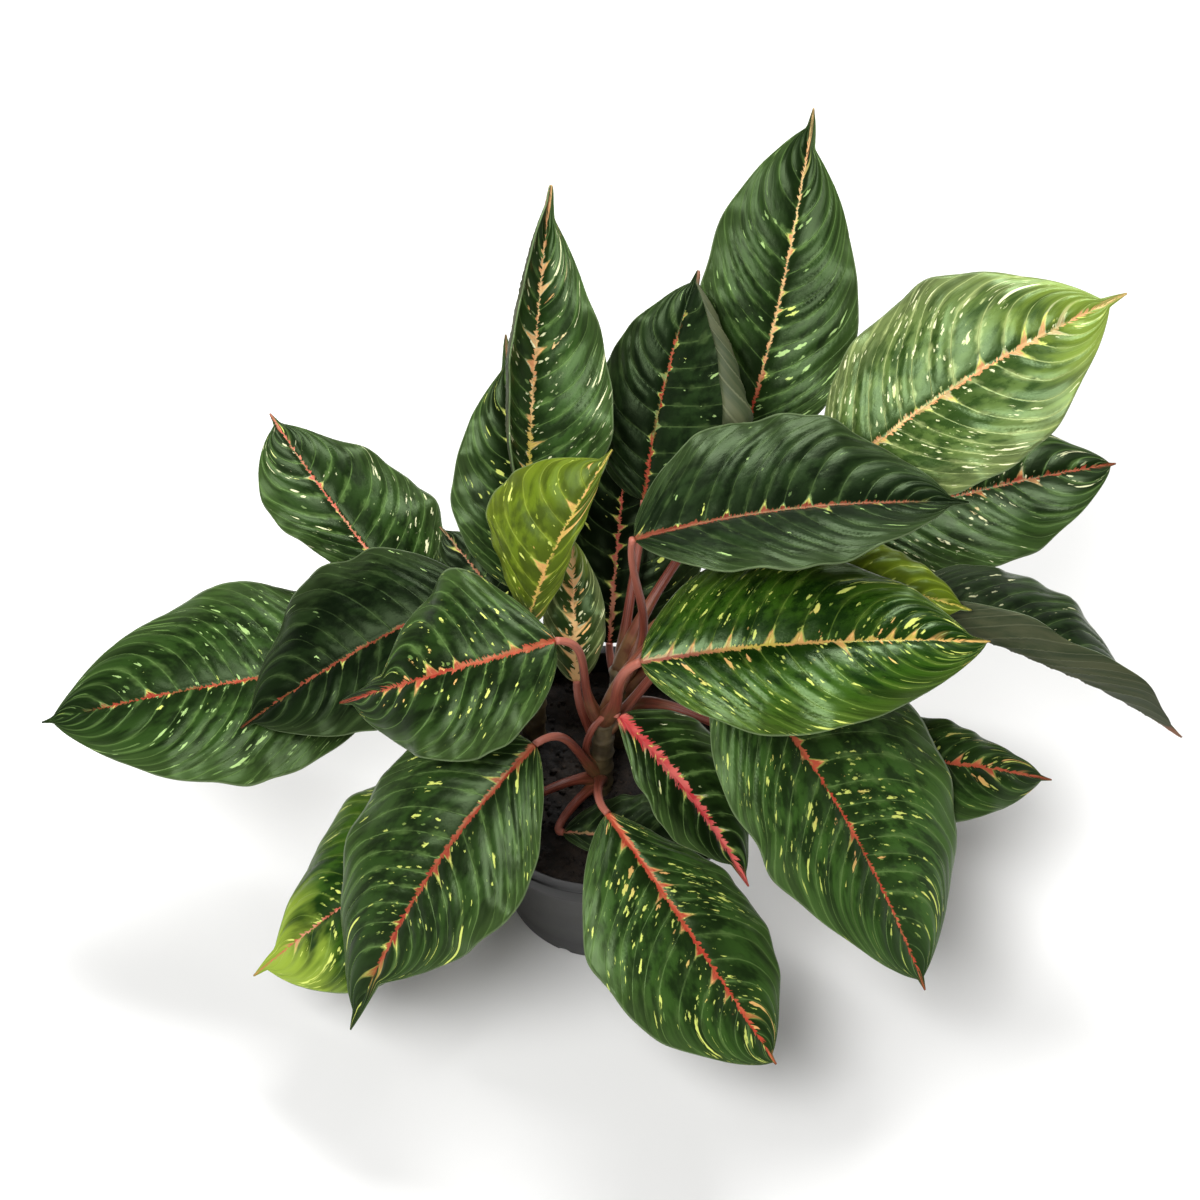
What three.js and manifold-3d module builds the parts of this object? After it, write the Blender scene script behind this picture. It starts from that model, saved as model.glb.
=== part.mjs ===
// A potted ruby aglaonema: a nursery pot of soil with three leafy shoots and their blades.
// Millimetres, +Z up. The origin is the middle of the pot's underside, and -Y is the plant's front.
import * as THREE from 'three';
import { mergeVertices } from 'three/addons/utils/BufferGeometryUtils.js';
import Module from 'manifold-3d';

const wasm = await Module();
wasm.setup();

// Driving dimensions
const GAP = 0.3;
const POT = {
  height: 120,
  baseRadius: 54,
  topRadius: 73,
  corner: 2,
  wall: 1.6,
  floor: 2,
  lipRadius: 78,
  lipDrop: 11,
  lipEdge: 1,
  segments: 34,
  drains: 8,
  drainRadius: 5,
  drainReach: 14,
  drainCircle: 48,
  drainSides: 10,
};
const SOIL = {
  level: 107,
  rings: [60, 45, 30, 15, 0],
  margin: 0.6,
  segments: 28,
  lump: 1.6,
  lumpPitch: 17,
  smallLump: 0.96,
  smallPitch: 29,
};
const CANE = {
  rootRadius: 5,
  sides: 12,
  steps: 13,
  ringSwell: 0.7,
  ringSpacing: 13,
  highestNode: 0.94,
};
const PETIOLE = {
  sheathRadius: 4.6,
  sheathLength: 0.35,
  stalkRadius: 2.6,
  endRadius: 1.9,
  seat: 0.5,
  sides: 6,
  steps: 7,
};
const BLADE = {
  thickness: 0.9,
  ribDepth: 1.5,
  across: [-1, -0.68, -0.34, -0.07, 0, 0.07, 0.34, 0.68, 1],
  steps: 12,
  footHalf: 1.9,
  tipHalf: 0.5,
  shoulder: 0.75,
  archPlace: 0.45,
  pointHalf: 0.9,
  waves: 2.6,
  phaseStep: 0.37,
  sideShift: 0.2,
  curlStart: 0.6,
  crossSteps: 16,
};

// The canes, from the rooted foot to the growing tip, with the radius at soil level and at the top
const SHOOTS = {
  front: { foot: [0, -8, 62], ground: [0, -6, 107], top: [2, 0, 172], radius: 6.5, topRadius: 5.5 },
  rear: { foot: [16, 20, 62], ground: [12, 22, 107], top: [10, 32, 168], radius: 6, topRadius: 5 },
  left: { foot: [-40, 22, 62], ground: [-36, 24, 107], top: [-33, 30, 166], radius: 6, topRadius: 5 },
};

// What a leaf has unless its own row says otherwise.
// bellyLeft, bellyRight: share of the length at which that half is widest
// tailLeft, tailRight: share of the length that it leaves to the drawn-out tip
// arch, sway: rise of the midrib's middle, and its shift to the left
// roll: degrees by which the blade tips over to its left
// fold: degrees by which both halves rise from the midrib
// bendLeft, bendRight: degrees by which they turn down again toward the margin, or up when negative
// curlLeft, curlRight: the same for the outer part only
// wave: height of the waves along the margin
// leave: direction in which the petiole sets out, in place of straight up with a lean toward the blade
// rise, neck: shares of the petiole's reach that keep its first and its last direction
// kink: how far the last direction turns from the midrib's to straight up
// stalk: thickness of the petiole as a share of the usual one
const USUAL_LEAF = {
  bellyLeft: 0.45,
  bellyRight: 0.45,
  tailLeft: 0.05,
  tailRight: 0.05,
  arch: 10,
  sway: 0,
  roll: 0,
  fold: 14,
  bendLeft: 35,
  bendRight: 35,
  curlLeft: 0,
  curlRight: 0,
  wave: 3,
  lean: 0.5,
  rise: 0.45,
  neck: 0.3,
  kink: 0.3,
  stalk: 1,
  age: 'grown',
};

// The leaves. node is the share of the cane's height at which the petiole leaves it, base and tip are the
// ends of the midrib, and left and right are the half widths as seen toward the tip.
const LEAVES = [
  { name: 'leaf_01', shoot: 'rear', node: 1, base: [74, 123, 240], tip: [110, 252, 356], left: 41, right: 42,
    arch: 4, sway: -4, fold: 16, bendLeft: 25, bendRight: 30, bellyLeft: 0.52, bellyRight: 0.38,
    tailRight: 0.1 },
  { name: 'leaf_02', shoot: 'rear', node: 0.97, base: [113, 87, 248], tip: [262, 145, 333], left: 55,
    right: 52, arch: 8, sway: 5, roll: -14, fold: 18, bendLeft: 30, bendRight: 30, wave: 3.5, bellyLeft: 0.5,
    bellyRight: 0.5, tailLeft: 0.06 },
  { name: 'leaf_03', shoot: 'left', node: 1, base: [-36, 74, 258], tip: [-24, 188, 365], left: 28, right: 41,
    arch: 3, sway: 2, fold: 20, bendLeft: -100, bendRight: 25, kink: 0.12, neck: 0.35, lean: 0.1,
    bellyLeft: 0.42, bellyRight: 0.3, tailRight: 0.09 },
  { name: 'leaf_04', shoot: 'rear', node: 0.9, base: [23, 95, 229], tip: [50, 178, 314], left: 35, right: 80,
    arch: 2, sway: 3, roll: 5, fold: 20, bendLeft: 30, bendRight: 20, curlRight: -190, bellyLeft: 0.42,
    bellyRight: 0.35 },
  { name: 'leaf_05', shoot: 'rear', node: 0.86, base: [17, 31, 282], tip: [183, 58, 276], left: 52,
    right: 44, arch: 7, sway: 3, fold: 24, bendLeft: 25, bendRight: 20, kink: 0.9 },
  { name: 'leaf_06', shoot: 'front', node: 1, base: [20, -13, 240], tip: [193, -1, 240], left: 54, right: 46,
    arch: 12, roll: -10, bendRight: 45, stalk: 1.25, bellyLeft: 0.42, bellyRight: 0.46, tailRight: 0.01 },
  { name: 'leaf_07', shoot: 'rear', node: 0.75, base: [135, 117, 174], tip: [284, 155, 184], left: 46,
    right: 48, arch: 8, roll: -5, fold: 15, bendLeft: 30, bendRight: 30, tailLeft: 0.02, tailRight: 0.02 },
  { name: 'leaf_08', shoot: 'rear', node: 0.68, base: [145, 52, 196], tip: [308, 6, 140], left: 51, right: 42,
    arch: 21, sway: -4, roll: 4, bendLeft: 40, bendRight: -115, bellyLeft: 0.4, bellyRight: 0.45,
    tailLeft: 0.12 },
  { name: 'leaf_09', shoot: 'front', node: 0.95, base: [97, 48, 228], tip: [187, 24, 231], left: 22,
    right: 24, arch: 8, roll: -10, fold: 20, bendLeft: 40, bendRight: 40, wave: 1.5, lean: 0.2, rise: 0.6,
    neck: 0.45, age: 'young' },
  { name: 'leaf_10', shoot: 'front', node: 0.8, base: [60, 12, 216], tip: [169, -115, 85], left: 69,
    right: 50, arch: 12, sway: 6, bendRight: 40, lean: 0.9, rise: 0.3, bellyLeft: 0.5, tailLeft: 0.03,
    tailRight: 0.03 },
  { name: 'leaf_11', shoot: 'rear', node: 0.45, base: [123, -10, 145], tip: [243, -3, 110], left: 24,
    right: 32, roll: -14, wave: 2.5, bellyLeft: 0.38 },
  { name: 'leaf_12', shoot: 'front', node: 0.12, base: [4, -47, 150], tip: [90, -156, 84], left: 38,
    right: 54, sway: -3, roll: 4, fold: 16, bendRight: 40, bellyLeft: 0.56, bellyRight: 0.5, tailLeft: 0.03,
    tailRight: 0.01 },
  { name: 'leaf_13', shoot: 'front', node: 0.42, base: [10, -9, 183], tip: [77, -73, 120], left: 34,
    right: 22, arch: 6, sway: 2, roll: 4, wave: 2, leave: [-0.9, -0.5, 0.3], rise: 0.4, stalk: 0.8,
    bellyRight: 0.5, tailRight: 0.12 },
  { name: 'leaf_14', shoot: 'front', node: 0.2, base: [-33, -30, 190], tip: [-129, -135, 80], left: 47,
    right: 56, arch: 14, sway: -4, bendLeft: 40, bendRight: 40, bellyLeft: 0.42, bellyRight: 0.4,
    tailLeft: 0.16 },
  { name: 'leaf_15', shoot: 'front', node: 0.08, base: [-54, -34, 130], tip: [-184, -97, 65], left: 50,
    right: 54, bendRight: 40, wave: 2.5, bellyLeft: 0.58, bellyRight: 0.36, tailRight: 0.1 },
  { name: 'leaf_16', shoot: 'front', node: 0.93, base: [-22, -4, 245], tip: [-133, -5, 190], left: 46,
    right: 52, arch: 16, sway: 5, roll: 18, bendRight: 40, wave: 4, bellyLeft: 0.4, bellyRight: 0.38,
    tailLeft: 0.08, tailRight: 0.24 },
  { name: 'leaf_17', shoot: 'left', node: 0.8, base: [-62, 51, 210], tip: [-188, 1, 156], left: 44,
    right: 54, arch: 12, roll: 10, bendRight: 40 },
  { name: 'leaf_18', shoot: 'left', node: 0.6, base: [-111, 41, 158], tip: [-301, 24, 125], left: 56,
    right: 57, arch: 12, roll: 14, fold: 12, bendLeft: 30, bellyLeft: 0.42, tailLeft: 0.03, tailRight: 0.03 },
  { name: 'leaf_19', shoot: 'left', node: 0.7, base: [-97, 69, 165], tip: [-179, 165, 215], left: 31,
    right: 47, arch: 5, sway: 4, bellyLeft: 0.66, bellyRight: 0.38 },
  { name: 'leaf_20', shoot: 'left', node: 0.95, base: [-36, 19, 229], tip: [6, 69, 304], left: 43, right: 9,
    fold: 20, bendLeft: 40, bendRight: 60, wave: 2, age: 'young', bellyLeft: 0.53, bellyRight: 0.35,
    tailLeft: 0.06 },
  { name: 'leaf_21', shoot: 'left', node: 0.88, base: [-40, 48, 215], tip: [-48, 147, 300], left: 32,
    right: 34, arch: 6, fold: 16, wave: 2, bellyLeft: 0.4, tailLeft: 0.12 },
  { name: 'leaf_22', shoot: 'front', node: 0.05, base: [-19, -43, 124], tip: [68, -58, 126], left: 28,
    right: 12, arch: 4, fold: 10, wave: 1 },
  { name: 'leaf_23', shoot: 'front', node: 0.5, base: [-12, 8, 190], tip: [-15, 67, 240], left: 15,
    right: 15, arch: 5, fold: 20, wave: 1.5 },
  { name: 'leaf_24', shoot: 'rear', node: 0.5, base: [5, 52, 160], tip: [16, 158, 224], left: 38, right: 46,
    arch: 6, wave: 2, bellyLeft: 0.4, bellyRight: 0.4 },
  { name: 'leaf_25', shoot: 'left', node: 0.6, base: [-42, 52, 165], tip: [-86, 107, 190], left: 24,
    right: 24, arch: 6, wave: 2 },
].map((row, index) => ({ ...USUAL_LEAF, phase: BLADE.phaseStep * index, ...row }));

const COLORS = {
  pot: 0x1a1a1b,
  soil: 0x2b1e16,
  shoot: 0xb0564c,
  grown: 0x234a20,
  young: 0x8a9a22,
};
const ROUGHNESS = { pot: 0.5, soil: 0.95, shoot: 0.45, grown: 0.35, young: 0.35 };

const UP = new THREE.Vector3(0, 0, 1);
const toVector = (list) => new THREE.Vector3(...list);
const toRadians = THREE.MathUtils.degToRad;
const lerp = THREE.MathUtils.lerp;

// Closed solids and booleans

// A geometry with shared vertices merged and empty triangles dropped
function merged(geometry) {
  const bare = geometry.clone();
  bare.deleteAttribute('normal');
  bare.deleteAttribute('uv');
  const whole = mergeVertices(bare, 1e-4);
  const index = Array.from(whole.index.array);
  const kept = [];
  for (let i = 0; i < index.length; i += 3) {
    const [a, b, c] = index.slice(i, i + 3);
    if (a !== b && b !== c && c !== a) {
      kept.push(a, b, c);
    }
  }
  whole.setIndex(kept);
  return whole;
}

function toManifold(geometry) {
  const whole = merged(geometry);
  return new wasm.Manifold(new wasm.Mesh({
    numProp: 3,
    vertProperties: new Float32Array(whole.getAttribute('position').array),
    triVerts: new Uint32Array(whole.index.array),
  }));
}

function fromManifold(solid) {
  const mesh = solid.getMesh();
  const geometry = new THREE.BufferGeometry();
  geometry.setAttribute('position', new THREE.Float32BufferAttribute(mesh.vertProperties, 3));
  geometry.setIndex(Array.from(mesh.triVerts));
  return geometry;
}

function fromPoints(points, index) {
  const geometry = new THREE.BufferGeometry();
  const values = points.flatMap((point) => point.toArray());
  geometry.setAttribute('position', new THREE.Float32BufferAttribute(values, 3));
  geometry.setIndex(index);
  return geometry;
}

// A closed solid turned about +Z from a profile of [radius, height] pairs
function turned(profile, segments) {
  const points = profile.map(([radius, z]) => new THREE.Vector2(radius, z));
  return new THREE.LatheGeometry(points, segments).rotateX(Math.PI / 2);
}

// A closed solid from rings of equally many points, with a flat end at each end ring
function loft(rings) {
  const count = rings[0].length;
  const index = [];
  for (let i = 0; i + 1 < rings.length; i += 1) {
    for (let j = 0; j < count; j += 1) {
      const a = i * count + j;
      const b = i * count + ((j + 1) % count);
      index.push(a, b, a + count);
      index.push(b, b + count, a + count);
    }
  }
  const last = (rings.length - 1) * count;
  for (let j = 1; j + 1 < count; j += 1) {
    index.push(0, j + 1, j);
    index.push(last, last + j, last + j + 1);
  }
  return fromPoints(rings.flat(), index);
}

// A round tube along a curve, whose radius is a function of the share of its length
function tube(curve, radiusAt, sides, steps) {
  const frames = curve.computeFrenetFrames(steps, false);
  const rings = [];
  for (let i = 0; i <= steps; i += 1) {
    const share = i / steps;
    const centre = curve.getPointAt(share);
    const radius = radiusAt(share);
    const ring = [];
    for (let j = 0; j < sides; j += 1) {
      const angle = (2 * Math.PI * j) / sides;
      ring.push(centre.clone()
        .addScaledVector(frames.normals[i], radius * Math.cos(angle))
        .addScaledVector(frames.binormals[i], radius * Math.sin(angle)));
    }
    rings.push(ring);
  }
  return loft(rings);
}

// Pot

function potGeometry() {
  const { height, baseRadius, topRadius, corner, wall, floor, lipRadius, lipDrop, lipEdge } = POT;
  const lipFoot = height - lipDrop;
  const radiusAt = (z) => lerp(baseRadius, topRadius, z / height);
  const body = turned([
    [0, 0],
    [baseRadius - corner, 0],
    [radiusAt(corner), corner],
    [radiusAt(lipFoot), lipFoot],
    [lipRadius - lipEdge, lipFoot],
    [lipRadius, lipFoot + lipEdge],
    [lipRadius, height - lipEdge],
    [lipRadius - lipEdge, height],
    [topRadius - wall, height],
    [radiusAt(lipFoot) - wall, lipFoot],
    [radiusAt(floor) - wall, floor],
    [0, floor],
  ], POT.segments);
  const { drains, drainRadius, drainReach, drainCircle, drainSides } = POT;
  let pot = toManifold(body);
  for (let i = 0; i < drains; i += 1) {
    const angle = (2 * Math.PI * (i + 0.5)) / drains;
    const drain = new THREE.CylinderGeometry(drainRadius, drainRadius, drainReach, drainSides);
    drain.rotateX(Math.PI / 2);
    drain.translate(drainCircle * Math.cos(angle), drainCircle * Math.sin(angle), 0);
    pot = pot.subtract(toManifold(drain));
  }
  return fromManifold(pot);
}

// Soil

function soilHeight(x, y) {
  const lump = Math.sin(x / SOIL.lumpPitch + 1.3) * Math.cos(y / SOIL.lumpPitch);
  const smallLump = Math.sin((x + 2 * y) / SOIL.smallPitch);
  return SOIL.level + SOIL.lump * lump + SOIL.smallLump * smallLump;
}

function soilGeometry() {
  const innerRadiusAt = (z) => lerp(POT.baseRadius, POT.topRadius, z / POT.height) - POT.wall - GAP;
  const bottom = POT.floor + GAP;
  const edge = innerRadiusAt(SOIL.level) - SOIL.margin;
  const geometry = turned([
    [0, bottom],
    [innerRadiusAt(bottom), bottom],
    [edge, SOIL.level],
    ...SOIL.rings.map((radius) => [radius, SOIL.level]),
  ], SOIL.segments);
  const position = geometry.getAttribute('position');
  for (let i = 0; i < position.count; i += 1) {
    const x = position.getX(i);
    const y = position.getY(i);
    const onTop = position.getZ(i) > (bottom + SOIL.level) / 2;
    if (onTop && Math.hypot(x, y) < (edge + SOIL.rings[0]) / 2) {
      position.setZ(i, soilHeight(x, y));
    }
  }
  let soil = toManifold(geometry);
  for (const shoot of Object.values(SHOOTS)) {
    soil = soil.subtract(toManifold(caneGeometry(shoot, GAP)));
  }
  return fromManifold(soil);
}

// Canes and petioles

function caneCurve(shoot) {
  return new THREE.CatmullRomCurve3([shoot.foot, shoot.ground, shoot.top].map(toVector));
}

// The share of the cane's length that lies in the soil
function buriedShare(shoot) {
  const buried = toVector(shoot.foot).distanceTo(toVector(shoot.ground));
  return buried / (buried + toVector(shoot.ground).distanceTo(toVector(shoot.top)));
}

function caneGeometry(shoot, clearance) {
  const buried = buriedShare(shoot);
  const curve = caneCurve(shoot);
  const length = curve.getLength();
  const radiusAt = (share) => {
    const bare = share < buried
      ? lerp(CANE.rootRadius, shoot.radius, share / buried)
      : lerp(shoot.radius, shoot.topRadius, (share - buried) / (1 - buried));
    const ring = Math.cos((2 * Math.PI * share * length) / CANE.ringSpacing);
    return bare + CANE.ringSwell * Math.max(0, ring) + clearance;
  };
  return tube(curve, radiusAt, CANE.sides, CANE.steps);
}

// The petiole's route, from inside the cane to the foot of the midrib
function petioleCurve(leaf) {
  const shoot = SHOOTS[leaf.shoot];
  const start = caneCurve(shoot).getPointAt(lerp(buriedShare(shoot), 1, leaf.node * CANE.highestNode));
  const midrib = midribCurve(leaf);
  const along = midrib.getTangent(0);
  const entry = along.clone().lerp(UP, leaf.kink).normalize();
  const slant = PETIOLE.endRadius * Math.sin(along.angleTo(entry));
  const end = midrib.getPoint(0).addScaledVector(along, -PETIOLE.seat - slant);
  const away = end.clone().sub(start);
  const reach = away.length();
  away.setZ(0).normalize();
  const leave = leaf.leave ? toVector(leaf.leave) : UP.clone().addScaledVector(away, leaf.lean);
  const first = start.clone().addScaledVector(leave.normalize(), reach * leaf.rise);
  const second = end.clone().addScaledVector(entry, -reach * leaf.neck);
  return new THREE.CubicBezierCurve3(start, first, second, end);
}

function petioleGeometry(leaf) {
  const { sheathRadius, sheathLength, stalkRadius, endRadius, sides, steps } = PETIOLE;
  const radiusAt = (share) => leaf.stalk * (share < sheathLength
    ? lerp(sheathRadius, stalkRadius, share / sheathLength)
    : lerp(stalkRadius, endRadius, (share - sheathLength) / (1 - sheathLength)));
  return tube(petioleCurve(leaf), radiusAt, sides, steps);
}

function shootGeometry(name) {
  let solid = toManifold(caneGeometry(SHOOTS[name], 0));
  for (const leaf of LEAVES.filter((each) => each.shoot === name)) {
    solid = solid.add(toManifold(petioleGeometry(leaf)));
  }
  return fromManifold(solid);
}

// Blades

// The directions up from a blade's face and to its left
function chordFrame(leaf) {
  const along = toVector(leaf.tip).sub(toVector(leaf.base)).normalize();
  const up = UP.clone().addScaledVector(along, -along.z).normalize();
  up.applyAxisAngle(along, toRadians(-leaf.roll));
  const left = new THREE.Vector3().crossVectors(up, along);
  return { up, left };
}

function midribCurve(leaf) {
  const base = toVector(leaf.base);
  const tip = toVector(leaf.tip);
  const { up, left } = chordFrame(leaf);
  const middle = base.clone().lerp(tip, BLADE.archPlace)
    .addScaledVector(up, 2 * leaf.arch)
    .addScaledVector(left, 2 * leaf.sway);
  return new THREE.QuadraticBezierCurve3(base, middle, tip);
}

// Half width as a share of the widest, from a blunt base over the belly to a drawn-out tip
function outline(share, belly, tail) {
  const warp = Math.log(0.5) / Math.log(belly / (1 - tail));
  const oval = Math.max(0, Math.sin(Math.PI * Math.min(1, share / (1 - tail)) ** warp)) ** BLADE.shoulder;
  const point = BLADE.pointHalf * (1 - share) * share ** 2;
  return Math.cbrt(oval ** 3 + point ** 3);
}

// A point of the upper face, by its share of the midrib and its place across, from -1 at the right margin
function bladePoint(leaf, midrib, share, across) {
  const side = across < 0 ? -1 : 1;
  const reach = Math.abs(across);
  const [widest, belly, tail, bend, curl] = across < 0
    ? [leaf.right, leaf.bellyRight, leaf.tailRight, leaf.bendRight, leaf.curlRight]
    : [leaf.left, leaf.bellyLeft, leaf.tailLeft, leaf.bendLeft, leaf.curlLeft];
  const tangent = midrib.getTangent(share);
  const frame = chordFrame(leaf);
  const up = frame.up.addScaledVector(tangent, -frame.up.dot(tangent)).normalize();
  const left = new THREE.Vector3().crossVectors(up, tangent);
  const half = lerp(BLADE.footHalf, BLADE.tipHalf, share) + widest * outline(share, belly, tail);
  const stride = (half * reach) / BLADE.crossSteps;
  let out = 0;
  let lift = 0;
  for (let i = 0; i < BLADE.crossSteps; i += 1) {
    const place = (reach * (i + 0.5)) / BLADE.crossSteps;
    const past = Math.max(0, place - BLADE.curlStart) / (1 - BLADE.curlStart);
    const angle = toRadians(leaf.fold - bend * place - curl * past);
    out += stride * Math.cos(angle);
    lift += stride * Math.sin(angle);
  }
  const phase = BLADE.waves * share + leaf.phase + BLADE.sideShift * side;
  const ripple = leaf.wave * reach ** 2 * Math.sin(2 * Math.PI * phase) * Math.sin(Math.PI * share);
  return midrib.getPoint(share).addScaledVector(left, side * out).addScaledVector(up, lift + ripple);
}

// The outward direction of the upper face, from its neighbours along and across
function bladeNormal(leaf, midrib, share, across) {
  const step = 0.01;
  const before = bladePoint(leaf, midrib, Math.max(share - step, 0), across);
  const after = bladePoint(leaf, midrib, Math.min(share + step, 1), across);
  const right = bladePoint(leaf, midrib, share, Math.max(across - step, -1));
  const left = bladePoint(leaf, midrib, share, Math.min(across + step, 1));
  return new THREE.Vector3().crossVectors(after.sub(before), left.sub(right)).normalize();
}

// The margin's points of a grid of blade points, in order around the blade
function rimOf(steps, count) {
  const rim = [];
  for (let j = 0; j < count; j += 1) {
    rim.push(j);
  }
  for (let i = 1; i <= steps; i += 1) {
    rim.push(i * count + count - 1);
  }
  for (let j = count - 2; j >= 0; j -= 1) {
    rim.push(steps * count + j);
  }
  for (let i = steps - 1; i > 0; i -= 1) {
    rim.push(i * count);
  }
  return rim;
}

function bladeGeometry(leaf) {
  const { across, steps, thickness, ribDepth } = BLADE;
  const midrib = midribCurve(leaf);
  const upper = [];
  const lower = [];
  for (let i = 0; i <= steps; i += 1) {
    const share = i / steps;
    for (const place of across) {
      const top = bladePoint(leaf, midrib, share, place);
      const rib = place === 0 ? ribDepth * (1 - share) : 0;
      upper.push(top);
      lower.push(top.clone().addScaledVector(bladeNormal(leaf, midrib, share, place), -thickness - rib));
    }
  }
  const count = across.length;
  const under = upper.length;
  const index = [];
  for (let i = 0; i < steps; i += 1) {
    for (let j = 0; j + 1 < count; j += 1) {
      const a = i * count + j;
      const b = a + 1;
      const c = a + count;
      const d = c + 1;
      index.push(a, c, b);
      index.push(b, c, d);
      index.push(under + a, under + b, under + c);
      index.push(under + b, under + d, under + c);
    }
  }
  rimOf(steps, count).forEach((a, i, rim) => {
    const b = rim[(i + 1) % rim.length];
    index.push(a, b, under + a);
    index.push(b, under + b, under + a);
  });
  return fromPoints([...upper, ...lower], index);
}

// Assembly

function part(name, geometry, look) {
  const material = new THREE.MeshStandardMaterial({ color: COLORS[look], roughness: ROUGHNESS[look] });
  const mesh = new THREE.Mesh(geometry, material);
  mesh.name = name;
  return mesh;
}

const plant = new THREE.Group();
plant.add(part('pot', potGeometry(), 'pot'));
plant.add(part('soil', soilGeometry(), 'soil'));
for (const name of Object.keys(SHOOTS)) {
  plant.add(part(`shoot_${name}`, shootGeometry(name), 'shoot'));
}
for (const leaf of LEAVES) {
  plant.add(part(leaf.name, bladeGeometry(leaf), leaf.age));
}

export default plant;
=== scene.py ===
import math

import bpy
import numpy as np
from mathutils import Euler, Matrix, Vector, noise


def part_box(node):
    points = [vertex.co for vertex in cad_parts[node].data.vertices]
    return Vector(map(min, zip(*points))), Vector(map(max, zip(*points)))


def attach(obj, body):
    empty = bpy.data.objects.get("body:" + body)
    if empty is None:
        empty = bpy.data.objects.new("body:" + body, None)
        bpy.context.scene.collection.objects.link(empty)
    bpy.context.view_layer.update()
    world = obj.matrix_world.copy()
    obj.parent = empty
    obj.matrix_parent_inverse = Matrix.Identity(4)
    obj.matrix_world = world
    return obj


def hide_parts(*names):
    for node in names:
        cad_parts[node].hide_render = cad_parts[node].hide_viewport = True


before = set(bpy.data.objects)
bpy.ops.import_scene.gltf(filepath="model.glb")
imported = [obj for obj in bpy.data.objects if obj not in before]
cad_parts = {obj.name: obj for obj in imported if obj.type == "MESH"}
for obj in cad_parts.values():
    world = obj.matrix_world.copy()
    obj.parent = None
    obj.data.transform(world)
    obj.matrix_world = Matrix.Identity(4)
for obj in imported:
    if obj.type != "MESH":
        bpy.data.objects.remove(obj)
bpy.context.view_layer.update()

# Driving dimensions, in millimetres as in the part's source
MM = 0.001
GAP = 0.3
ON_AXIS = 0.01
UP = np.array([0.0, 0.0, 1.0])
CANE = {"root_radius": 5, "ring_swell": 0.7, "ring_spacing": 13, "highest_node": 0.94, "sides": 28,
        "steps": 90}
PETIOLE = {"sheath_radius": 4.6, "sheath_length": 0.35, "stalk_radius": 2.6, "end_radius": 1.9, "seat": 0.5,
           "groove": 0.22, "sides": 20, "steps": 44}
BLADE = {"thickness": 0.9, "rib_depth": 1.5, "rib_half": 2.2, "foot_half": 1.9, "tip_half": 0.5,
         "shoulder": 0.75, "point_half": 0.9, "arch_place": 0.45, "waves": 2.6, "phase_step": 0.37,
         "side_shift": 0.2, "curl_start": 0.6, "cross_steps": 16, "row": 1.6, "column": 1.9}
VEINS = {"spacing": 11.5, "lean": 0.13, "sweep": 0.17, "warp": 0.018, "warp_turn": 14, "warp_phase": 5}
RIPPLE = {"height": 1.1, "count": 6.5, "side_count": 0.15, "phase": 2.3, "edge": 0.018, "edge_turn": 19,
          "edge_phase": 5, "second_edge": 0.7, "second_turn": 33, "second_phase": 8}
QUILT = {"roundness": 0.7, "rest": 0.55, "usual": 0.75, "varied": 0.5, "vein_turn": 2.4, "leaf_turn": 9,
         "groove_depth": 0.7, "groove_half": 1.8}
POT = {"base_radius": 54, "top_radius": 73, "corner": 2, "wall": 1.6, "floor": 2, "foot_ring": 6,
       "low_ring": 20, "lip_drop": 11, "lip_edge": 1, "drains": 8, "drain_radius": 5, "drain_circle": 48,
       "drain_reach": 14, "drain_sides": 32, "segments": 160}
SOIL = {"level": 107, "margin": 0.6, "lump": 1.6, "pitch": 17, "small_lump": 0.96, "small_pitch": 29,
        "calm_margin": 6, "edge_drop": 2, "rings": 46, "segments": 144, "crumbs": 420, "crumb_margin": 5,
        "seed": 7}

# The soil's roughness, as the pitch, noise seed and height of each size of lump
SOIL_ROUGHNESS = ((5.0, 1, 1.6), (2.2, 2, 0.8))

# A crumb of soil: directions to its corners, and its triangles
CRUMB_CORNERS = [(0, 0, 1), (0.9, 0, 0.4), (0.3, 0.85, 0.4), (-0.7, 0.5, 0.4), (-0.7, -0.5, 0.4),
                 (0.3, -0.85, 0.4), (0, 0, -1)]
CRUMB_SIDES = [(0, 1, 2), (0, 2, 3), (0, 3, 4), (0, 4, 5), (0, 5, 1),
               (6, 2, 1), (6, 3, 2), (6, 4, 3), (6, 5, 4), (6, 1, 5)]

# Stage, lights and camera, in metres, degrees and watts. The studio's brightness goes by the height of the
# direction looked in: SKY maps it from just above the horizon to overhead.
FLOOR_HALF = 6
SKY = {"From Min": 0.12, "From Max": 0.5, "To Min": 0.85, "To Max": 0.09}
LIGHT_TARGET = (0, 0, 0.2)
LIGHTS = {
    "back": dict(place=(0.27, 1.05, 1.75), width=1.1, height=0.6, power=40),
    "front": dict(place=(-0.6, -0.75, 1.9), width=1.1, height=0.8, power=40),
}
CAMERA = {"target": (0, 0.024, 0.240), "elevation": 55, "distance": 1.2, "lens": 72, "sensor": 36}

# The canes, from the rooted foot to the growing tip, with the radius at soil level and at the top
SHOOTS = {
    "front": dict(foot=(0, -8, 62), ground=(0, -6, 107), top=(2, 0, 172), radius=6.5, top_radius=5.5),
    "rear": dict(foot=(16, 20, 62), ground=(12, 22, 107), top=(10, 32, 168), radius=6, top_radius=5),
    "left": dict(foot=(-40, 22, 62), ground=(-36, 24, 107), top=(-33, 30, 166), radius=6, top_radius=5),
}

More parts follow.
